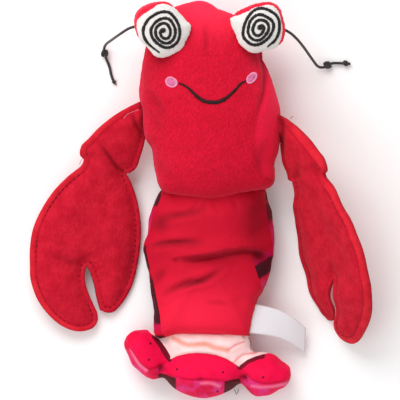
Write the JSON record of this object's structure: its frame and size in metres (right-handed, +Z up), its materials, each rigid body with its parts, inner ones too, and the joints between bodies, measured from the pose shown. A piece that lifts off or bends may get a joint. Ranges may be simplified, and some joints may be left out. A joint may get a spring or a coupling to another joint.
{
  "type": "shrimp catnip cat toy",
  "caption": "Soft stuffed shrimp cat toy with felt claws, stuffed eye pads, cord antennae and a lobed tail, lying on its back.",
  "frame": {"origin": "middle of the underside, on the surface that the toy lies on", "axes": "+Y from the tail to the head, +Z up out of the toy's front, +X to the right of the face as it is looked at"},
  "size_m": [0.1722, 0.1976, 0.0479],
  "materials": {
    "plush": "short-pile red plush",
    "smooth_cloth": "smooth red cloth, printed pink behind",
    "tail_cloth": "magenta cloth, printed with a pale root and dark bands",
    "felt": "red felt, topstitched",
    "eye_cloth": "white cloth with a red back",
    "black_thread": "black satin stitch",
    "pink_thread": "pink satin stitch",
    "woven_label": "woven white satin",
    "black_cord": "waxed black cord"
  },
  "bodies": {
    "root": {"head": "plush", "abdomen": "smooth_cloth", "tail_fan": "tail_cloth", "claw_left": "felt", "claw_right": "felt", "eye_left": "eye_cloth", "eye_right": "eye_cloth", "eye_spiral_left": "black_thread", "eye_spiral_right": "black_thread", "smile": "black_thread", "cheek_left": "pink_thread", "cheek_right": "pink_thread", "label": "woven_label", "antenna_left": "black_cord", "antenna_left_knot": "black_cord", "antenna_right": "black_cord", "antenna_right_knot": "black_cord", "antenna_right_end_knot": "black_cord"}
  },
  "joints": []
}
